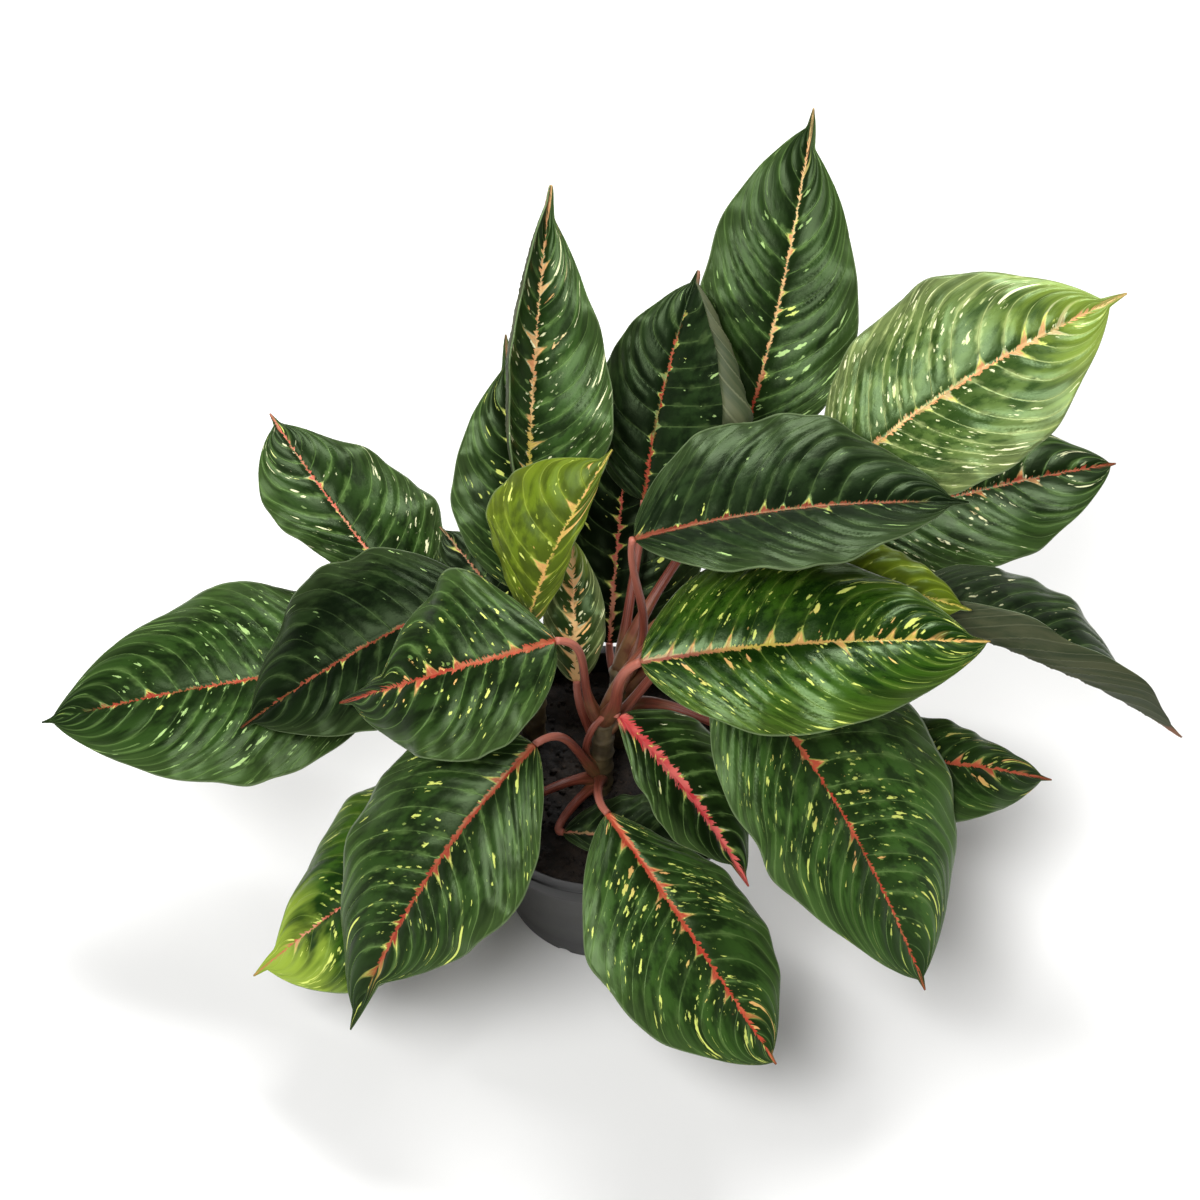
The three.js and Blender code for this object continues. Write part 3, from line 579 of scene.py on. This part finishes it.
def cane_material():
    """The cane: tan olive, with darker rings where old leaves were."""
    s = Shade("cane")
    share, around = s.layer("stalk")
    ring = s.noise(s.vector(s.times(share, 30.0), s.times(around, 1.5)), 1.0, 5.0, 3.0)
    blotch = s.noise(s.position(), 70.0, 4.0, 4.0, 0.6)
    color = s.mix(s.ease(blotch, 0.35, 0.65), COLORS["cane_dark"], COLORS["cane_light"])
    color = s.mix(s.times(s.ease(ring, 0.55, 0.7), 0.6), color, COLORS["cane_ring"])
    s.bump(s.math("ADD", ring, blotch), 0.0006, 0.6)
    return s.finish(Base_Color=color, Roughness=s.scaled(ring, 0.2, 0.45))


def soil_material():
    """Dark moist potting soil with lighter fibre and bark bits."""
    s = Shade("soil")
    place = s.position()
    clump = s.noise(place, 60.0, 1.0, 5.0, 0.65)
    grain = s.noise(place, 420.0, 2.0, 3.0, 0.6)
    bits = s.node("ShaderNodeTexVoronoi", {"Vector": place, "Scale": 210.0})
    color = s.mix(s.ease(clump, 0.35, 0.68), COLORS["soil_dark"], COLORS["soil_light"])
    color = s.mix(s.times(s.ease(grain, 0.58, 0.72), 0.6), color, COLORS["soil_fibre"])
    s.bump(s.math("ADD", grain, s.math("SUBTRACT", 1.0, bits.outputs["Distance"])), 0.0015, 0.9)
    return s.finish(Base_Color=color, Roughness=s.scaled(grain, 0.2, 0.78))


def pot_material():
    """Black moulded plastic, a little greyed and dusty."""
    s = Shade("pot")
    place = s.position()
    dust = s.noise(place, 22.0, 1.0, 4.0, 0.6)
    grain = s.noise(place, 900.0, 2.0, 2.0)
    color = s.mix(s.ease(dust, 0.4, 0.75), COLORS["pot_clean"], COLORS["pot_dusty"])
    s.bump(grain, 0.0001, 0.6)
    return s.finish(Base_Color=color, Roughness=s.scaled(dust, 0.25, 0.3), Specular_IOR_Level=0.3)


# Blades

def blade_frame(leaf):
    """Directions up from a blade's face and to its left, and the midrib's three handles."""
    base, tip = (np.array(leaf[key], float) for key in ("base", "tip"))
    along = unit(tip - base)
    up = turned(unit(UP - along * along[2]), along, -leaf["roll"])
    left = np.cross(up, along)
    middle = lerp(base, tip, BLADE["arch_place"]) + up * 2 * leaf["arch"] + left * 2 * leaf["sway"]
    return up, (base, middle, tip)


def outline(share, belly, tail):
    """Half width as a share of the widest, from a blunt base over the belly to a drawn-out tip."""
    body = np.minimum(1, share / (1 - tail))
    warp = math.log(0.5) / np.log(belly / (1 - tail))
    oval = np.maximum(0, np.sin(math.pi * body ** warp)) ** BLADE["shoulder"]
    point = BLADE["point_half"] * (1 - share) * share ** 2
    return np.cbrt(oval ** 3 + point ** 3)


def margin_waves(leaf, share, side):
    """Unevenness of the half width along each margin, fading to nothing at base and tip."""
    first = np.sin(RIPPLE["edge_turn"] * share + RIPPLE["edge_phase"] * leaf["phase"] + side)
    second = np.sin(RIPPLE["second_turn"] * share + RIPPLE["second_phase"] * leaf["phase"] - side)
    return RIPPLE["edge"] * (first + RIPPLE["second_edge"] * second) * np.sin(math.pi * share)


def blade_grid(leaf):
    """Points of the upper face in rows along the midrib, with their layer values."""
    length = np.linalg.norm(np.subtract(leaf["tip"], leaf["base"]))
    rows = int(length / BLADE["row"])
    columns = 2 * int(max(leaf["left"], leaf["right"]) / BLADE["column"])
    share = np.linspace(0, 1, rows + 1)
    across = np.linspace(-1, 1, columns + 1)
    up, handles = blade_frame(leaf)
    centre, tangent = bezier(handles, share)
    up = unit(up - tangent * (tangent @ up)[:, None])
    left = np.cross(up, tangent)
    side = np.where(across < 0, -1, 1)[None, :]
    reach = np.abs(across)[None, :]

    def by_side(key):
        return np.where(side < 0, leaf[key + "_right"], leaf[key + "_left"])
    widest = np.where(side < 0, leaf["right"], leaf["left"])
    share = share[:, None]
    half = widest * outline(share, by_side("belly"), by_side("tail"))
    half = half + lerp(BLADE["foot_half"], BLADE["tip_half"], share)
    half = half * (1 + margin_waves(leaf, share, side))
    out = np.zeros_like(half * reach)
    lift = np.zeros_like(out)
    for step in range(BLADE["cross_steps"]):
        place = reach * (step + 0.5) / BLADE["cross_steps"]
        past = np.maximum(0, place - BLADE["curl_start"]) / (1 - BLADE["curl_start"])
        angle = np.radians(leaf["fold"] - by_side("bend") * place - by_side("curl") * past)
        out += np.cos(angle) * half * reach / BLADE["cross_steps"]
        lift += np.sin(angle) * half * reach / BLADE["cross_steps"]
    phase = BLADE["waves"] * share + leaf["phase"] + BLADE["side_shift"] * side
    lift += leaf["wave"] * reach ** 2 * np.sin(2 * math.pi * phase) * np.sin(math.pi * share)
    phase = RIPPLE["count"] * share * (1 + RIPPLE["side_count"] * side) + RIPPLE["phase"] * leaf["phase"]
    lift += RIPPLE["height"] * reach ** 3 * np.sin(2 * math.pi * phase) * np.sin(math.pi * share)
    points = centre[:, None] + left[:, None] * (side * out)[..., None] + up[:, None] * lift[..., None]

    count = length / VEINS["spacing"]
    path = share - VEINS["lean"] * reach - VEINS["sweep"] * reach ** 3
    path = path + VEINS["warp"] * np.sin(VEINS["warp_turn"] * path + VEINS["warp_phase"] * leaf["phase"])
    return dict(points=points, share=share + 0 * reach, across=across[None, :] + 0 * share,
                vein=count * path, centimetres=0.1 * side * reach * half, reach=reach, side=side)


def quilted(leaf, look, grid):
    """The grid's points and outward directions, swollen between the veins and sunken along the midrib."""
    points = grid["points"]
    normal = unit(np.cross(np.gradient(points, axis=0), np.gradient(points, axis=1)))
    vein = grid["vein"] + 0.5 * (grid["side"] < 0)
    swell = np.abs(np.sin(math.pi * vein)) ** QUILT["roundness"] - QUILT["rest"]
    turn = QUILT["vein_turn"] * np.floor(vein) + QUILT["leaf_turn"] * leaf["phase"]
    strength = QUILT["usual"] + QUILT["varied"] * np.sin(turn)
    reach = grid["reach"]
    along = np.sin(math.pi * grid["share"])
    fade = ease(reach, 0.02, 0.2) * (1 - 0.75 * ease(reach, 0.7, 1.0)) * along ** 0.5
    hollow = np.exp(-(10 * grid["centimetres"] / QUILT["groove_half"]) ** 2)
    height = look["quilt"] * swell * strength * fade - QUILT["groove_depth"] * hollow * along ** 0.3
    return points + normal * height[..., None], normal


def make_blade(leaf, look, underside):
    """A closed blade: its upper face, a lower face with the raised midrib, and the rim between them."""
    grid = blade_grid(leaf)
    upper, normal = quilted(leaf, look, grid)
    millimetres = 10 * grid["centimetres"]
    rib = BLADE["rib_depth"] * (1 - grid["share"]) * np.exp(-(millimetres / BLADE["rib_half"]) ** 2)
    lower = upper - normal * (BLADE["thickness"] + rib)[..., None]
    rows, columns = grid["share"].shape
    under = rows * columns
    faces = []
    kinds = []
    for i in range(rows - 1):
        for j in range(columns - 1):
            a = i * columns + j
            b, c, d = a + 1, a + columns, a + columns + 1
            faces += [(a, c, d, b), (under + a, under + b, under + d, under + c)]
            kinds += [0, 1]
    rim = list(range(columns))
    rim += [i * columns + columns - 1 for i in range(1, rows)]
    rim += [(rows - 1) * columns + j for j in range(columns - 2, -1, -1)]
    rim += [i * columns for i in range(rows - 2, 0, -1)]
    for a, b in zip(rim, rim[1:] + rim[:1]):
        faces.append((a, b, under + b, under + a))
        kinds.append(0)
    vertices = np.concatenate([upper.reshape(-1, 3), lower.reshape(-1, 3)])
    vein = np.stack([grid["vein"], grid["centimetres"]], -1).reshape(-1, 2)
    place = np.stack([grid["share"], (grid["across"] + 1) / 2], -1).reshape(-1, 2)
    layers = {"blade": np.tile(place, (2, 1)), "vein": np.tile(vein, (2, 1))}
    face_up = upper_material(leaf["name"], look, leaf["seed"])
    blade = new_piece("blade_" + leaf["name"][-2:], vertices, faces, [face_up, underside], kinds, layers)
    settle(blade, "young_leaf" if leaf["name"] in YOUNG else "leaf", leaf["name"])


# Canes and petioles

def ring_faces(rings, sides):
    """Faces between rings of this many corners, and one over each end."""
    faces = []
    for i in range(rings - 1):
        for j in range(sides):
            a = i * sides + j
            b = i * sides + (j + 1) % sides
            faces.append((a, b, b + sides, a + sides))
    last = (rings - 1) * sides
    faces.append(tuple(range(sides))[::-1])
    faces.append(tuple(range(last, last + sides)))
    return faces


def tube(centres, tangents, radii, sides, groove=0.0):
    """Rings of a closed tube, with a groove along the side that faces up at its start."""
    normal = unit(UP - tangents[0] * tangents[0][2] + 1e-6)
    angles = np.linspace(0, 2 * math.pi, sides, endpoint=False)
    dent = 1 - groove * np.exp(-(np.minimum(angles, 2 * math.pi - angles) / 0.55) ** 2)
    rings = []
    for centre, tangent, radius in zip(centres, tangents, radii):
        normal = unit(normal - tangent * (normal @ tangent))
        other = np.cross(tangent, normal)
        spokes = np.cos(angles)[:, None] * normal + np.sin(angles)[:, None] * other
        rings.append(centre + spokes * (radius * dent)[:, None])
    share = np.repeat(np.linspace(0, 1, len(rings)), sides)
    around = np.tile(np.abs(np.linspace(-1, 1, sides, endpoint=False)), len(rings))
    return np.concatenate(rings), ring_faces(len(rings), sides), np.stack([share, around], -1)


def cane_points(shoot, shares):
    """Points of the cane by their share of its length, through foot, ground and top."""
    foot, ground, top = (np.array(shoot[key], float) for key in ("foot", "ground", "top"))
    buried = np.linalg.norm(ground - foot)
    bare = np.linalg.norm(top - ground)
    split = buried / (buried + bare)
    shares = np.asarray(shares, float)[:, None]
    low = lerp(foot, ground, np.minimum(1, shares / split))
    high = np.maximum(0, shares - split) / (1 - split)
    return low + (top - ground) * high, split, buried + bare


def cane_tube(shoot):
    """A cane from its buried foot to its tip, a little swollen where old leaves were."""
    shares = np.linspace(0, 1, CANE["steps"])
    centres, split, length = cane_points(shoot, shares)
    tangents = unit(np.gradient(centres, axis=0))
    bare = np.where(shares < split, lerp(CANE["root_radius"], shoot["radius"], shares / split),
                    lerp(shoot["radius"], shoot["top_radius"], (shares - split) / (1 - split)))
    ring = np.maximum(0, np.cos(2 * math.pi * shares * length / CANE["ring_spacing"])) ** 6
    cap = np.sqrt(np.clip((1 - shares) / 0.03, 0.02, 1))
    return tube(centres, tangents, (bare + CANE["ring_swell"] * ring) * cap, CANE["sides"])


def petiole_tube(leaf):
    """A petiole that leaves its cane, bends over and ends in the foot of its blade."""
    shoot = SHOOTS[leaf["shoot"]]
    split = cane_points(shoot, [0])[1]
    start = cane_points(shoot, [lerp(split, 1, leaf["node"] * CANE["highest_node"])])[0][0]
    handles = blade_frame(leaf)[1]
    foot, along = (values[0] for values in bezier(handles, [0]))
    entry = unit(lerp(along, UP, leaf["kink"]))
    slant = PETIOLE["end_radius"] * math.sin(math.acos(min(1, along @ entry)))
    end = foot - along * (PETIOLE["seat"] + slant - 1)
    away = end - start
    reach = np.linalg.norm(away)
    level = unit(away * (1, 1, 0))
    leave = unit(leaf["leave"]) if leaf["leave"] else unit(UP + level * leaf["lean"])
    route = (start, start + leave * reach * leaf["rise"], end - entry * reach * leaf["neck"], end)
    shares = np.linspace(0, 1, PETIOLE["steps"])
    centres, tangents = bezier(route, shares)
    sheath = PETIOLE["sheath_length"]
    radii = leaf["stalk"] * np.where(
        shares < sheath,
        lerp(PETIOLE["sheath_radius"], PETIOLE["stalk_radius"], ease(shares, 0, sheath)),
        lerp(PETIOLE["stalk_radius"], PETIOLE["end_radius"], (shares - sheath) / (1 - sheath)))
    return tube(centres, tangents, radii, PETIOLE["sides"], PETIOLE["groove"])


def make_shoot(name, cane, petiole):
    """A cane and its petioles as one piece, with a material for each kind."""
    tubes = [cane_tube(SHOOTS[name])]
    tubes += [petiole_tube(leaf) for leaf in LEAVES if leaf["shoot"] == name]
    vertices = np.concatenate([points for points, faces, layer in tubes])
    layer = np.concatenate([values for points, faces, values in tubes])
    faces = []
    kinds = []
    first = 0
    for index, (points, own, values) in enumerate(tubes):
        faces += [tuple(corner + first for corner in face) for face in own]
        kinds += [min(index, 1)] * len(own)
        first += len(points)
    shoot = new_piece("stems_" + name, vertices, faces, [cane, petiole], kinds, {"stalk": layer})
    settle(shoot, "stem", "shoot_" + name)


# Pot and soil

def lathe(profile, segments):
    """A surface turned about +Z from radius and height pairs, closed at its two ends on the axis."""
    vertices = []
    for radius, height in profile:
        for k in range(segments):
            angle = 2 * math.pi * k / segments
            vertices.append((radius * math.cos(angle), radius * math.sin(angle), height))
    return vertices, ring_faces(len(profile), segments)


def arc(centre, radius, start, end, steps):
    """Radius and height pairs on an arc of the profile, with angles in degrees."""
    angles = np.radians(np.linspace(start, end, steps + 1))
    return [(centre[0] + radius * math.cos(a), centre[1] + radius * math.sin(a)) for a in angles]


def pot_radius(height, top):
    """The outer radius of the pot's wall at a height, for a pot that is top high."""
    return lerp(POT["base_radius"], POT["top_radius"], height / top)


def make_pot(material):
    """The pot, turned from its profile, with slots cut through the corner of its base."""
    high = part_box("pot")[1]
    top = high[2] / MM
    lip_radius = high[0] / MM
    lip_foot = top - POT["lip_drop"]
    edge = POT["lip_edge"]
    corner = POT["corner"]
    profile = [(ON_AXIS, 0), (POT["base_radius"] - corner - POT["foot_ring"], 0)]
    profile += arc((POT["base_radius"] - corner, corner), corner, -90, 0, 6)
    rings = (POT["drain_radius"] + 2, POT["low_ring"], lip_foot - 0.5)
    profile += [(pot_radius(height, top), height) for height in rings]
    profile += [(lip_radius - edge, lip_foot)]
    profile += arc((lip_radius - edge, lip_foot + edge), edge, -90, 0, 5)
    profile += arc((lip_radius - edge, top - edge), edge, 0, 90, 6)
    inner_edge = POT["top_radius"] - POT["wall"]
    profile += arc((inner_edge + edge, top - edge), edge, 90, 180, 5)
    profile += [(pot_radius(lip_foot, top) - POT["wall"], lip_foot)]
    profile += [(pot_radius(POT["floor"], top) - POT["wall"], POT["floor"]), (ON_AXIS, POT["floor"])]
    vertices, faces = lathe(profile, POT["segments"])
    pot = new_piece("nursery_pot", vertices, faces, [material])
    reach = POT["drain_reach"] / 2
    ends = [(POT["drain_radius"], -reach), (POT["drain_radius"], reach)]
    ring, sides = lathe(ends, POT["drain_sides"])
    for k in range(POT["drains"]):
        angle = 2 * math.pi * (k + 0.5) / POT["drains"]
        centre = POT["drain_circle"] * Vector((math.cos(angle), math.sin(angle), 0))
        placed = [tuple(centre + Vector((x, z, y))) for x, y, z in ring]
        drain = new_piece("drain", placed, [side[::-1] for side in sides], [])
        cut = pot.modifiers.new("drain", "BOOLEAN")
        cut.object = drain
        bpy.context.view_layer.objects.active = pot
        bpy.ops.object.modifier_apply(modifier=cut.name)
        bpy.data.objects.remove(drain)
    settle(pot, "pot", "pot")


def soil_height(x, y):
    """The height of the soil's broad lumps."""
    lump = np.sin(x / SOIL["pitch"] + 1.3) * np.cos(y / SOIL["pitch"])
    small = np.sin((x + 2 * y) / SOIL["small_pitch"])
    return SOIL["level"] + SOIL["lump"] * lump + SOIL["small_lump"] * small


def make_crumbs(edge, first):
    """Corners and triangles of crumbs strewn over the soil, with the corners numbered from first."""
    draw = np.random.default_rng(SOIL["seed"])
    shape = [unit(corner) for corner in CRUMB_CORNERS]
    corners = []
    sides = []
    for k in range(SOIL["crumbs"]):
        distance = (edge - SOIL["crumb_margin"]) * math.sqrt(draw.random())
        angle = draw.uniform(0, 2 * math.pi)
        x, y = distance * math.cos(angle), distance * math.sin(angle)
        size = draw.uniform(0.7, 2.3) * np.array([draw.uniform(0.7, 1.7), 1, draw.uniform(0.5, 0.9)])
        turn = Euler((draw.uniform(-0.5, 0.5), draw.uniform(-0.5, 0.5), draw.uniform(0, 6.3)))
        height = soil_height(x, y)
        start = first + len(corners)
        for corner in shape:
            spun = Vector(corner * size * draw.uniform(0.8, 1.2))
            spun.rotate(turn)
            corners.append((x + spun.x, y + spun.y, height + spun.z))
        sides += [tuple(start + corner for corner in side) for side in CRUMB_SIDES]
    return corners, sides


def make_soil(material):
    """A lumpy top with crumbs on it, over the plain body that fills the pot."""
    level = SOIL["level"]
    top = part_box("pot")[1][2] / MM
    bottom = POT["floor"] + GAP
    edge = pot_radius(level, top) - POT["wall"] - GAP - SOIL["margin"]
    body = [(ON_AXIS, bottom), (pot_radius(bottom, top) - POT["wall"] - GAP, bottom)]
    body.append((edge, level - SOIL["edge_drop"]))
    radii = np.linspace(ON_AXIS, 1, SOIL["rings"])[::-1] * (edge - 0.3)
    vertices, faces = lathe(body + [(radius, level) for radius in radii], SOIL["segments"])
    vertices = np.array(vertices)
    upper = vertices[len(body) * SOIL["segments"]:]
    x, y = upper[:, 0], upper[:, 1]
    rough = sum(height * ripples(upper, pitch, seed) for pitch, seed, height in SOIL_ROUGHNESS)
    calm = ease(np.hypot(x, y), edge, edge - SOIL["calm_margin"])
    upper[:, 2] = lerp(level, soil_height(x, y), calm) + rough * calm
    crumbs, sides = make_crumbs(edge, len(vertices))
    soil = new_piece("potting_soil", np.concatenate([vertices, crumbs]), faces + sides, [material])
    settle(soil, "soil", "soil")


# Stage, lights and camera

def make_stage():
    """A pale floor in a studio that is bright near the horizon and dim overhead."""
    s = Shade("floor")
    tone = s.noise(s.position(), 1.5, 1.0, 2.0)
    color = s.mix(tone, COLORS["floor_cool"], COLORS["floor_warm"])
    floor_material = s.finish(Base_Color=color, Roughness=0.9)
    half = FLOOR_HALF / MM
    corners = [(-half, -half, 0), (half, -half, 0), (half, half, 0), (-half, half, 0)]
    floor = new_piece("floor", corners, [(0, 1, 2, 3)], [floor_material])
    world = bpy.data.worlds.new("studio")
    world.use_nodes = True
    tree = world.node_tree
    background = tree.nodes["Background"]
    background.inputs["Color"].default_value = (*COLORS["studio"], 1)
    direction = tree.nodes.new("ShaderNodeTexCoord")
    parts = tree.nodes.new("ShaderNodeSeparateXYZ")
    fall = tree.nodes.new("ShaderNodeMapRange")
    fall.interpolation_type = "SMOOTHSTEP"
    for name, value in SKY.items():
        fall.inputs[name].default_value = value
    tree.links.new(direction.outputs["Generated"], parts.inputs[0])
    tree.links.new(parts.outputs["Z"], fall.inputs["Value"])
    tree.links.new(fall.outputs["Result"], background.inputs["Strength"])
    bpy.context.scene.world = world


def make_light(name, place, width, height, power):
    """A soft box that faces the plant."""
    data = bpy.data.lights.new(name, "AREA")
    data.shape = "RECTANGLE"
    data.size = width
    data.size_y = height
    data.energy = power
    light = bpy.data.objects.new(name, data)
    light.location = place
    light.rotation_euler = (Vector(LIGHT_TARGET) - Vector(place)).to_track_quat("-Z", "Y").to_euler()
    bpy.context.scene.collection.objects.link(light)


def make_camera():
    """The photograph's view, from in front of the plant and well above it."""
    elevation = math.radians(CAMERA["elevation"])
    back = Vector((0, -math.cos(elevation), math.sin(elevation)))
    camera_data = bpy.data.cameras.new("camera")
    camera_data.sensor_width = CAMERA["sensor"]
    camera_data.lens = CAMERA["lens"]
    camera = bpy.data.objects.new("camera", camera_data)
    camera.location = Vector(CAMERA["target"]) + CAMERA["distance"] * back
    camera.rotation_euler = (math.pi / 2 - elevation, 0, 0)
    bpy.context.scene.collection.objects.link(camera)
    bpy.context.scene.camera = camera


for index, leaf in enumerate(LEAVES):
    leaf.update({key: value for key, value in USUAL_LEAF.items() if key not in leaf})
    leaf["phase"] = BLADE["phase_step"] * index
    leaf["seed"] = SEED_STEP * index

underside = lower_material()
for leaf in LEAVES:
    make_blade(leaf, {**USUAL_LOOK, **LOOKS[leaf["name"]]}, underside)
cane = cane_material()
petiole = petiole_material()
for name in SHOOTS:
    make_shoot(name, cane, petiole)
make_pot(pot_material())
make_soil(soil_material())
make_stage()
for name, light in LIGHTS.items():
    make_light(name, **light)
make_camera()
bpy.context.scene.view_settings.view_transform = "Standard"
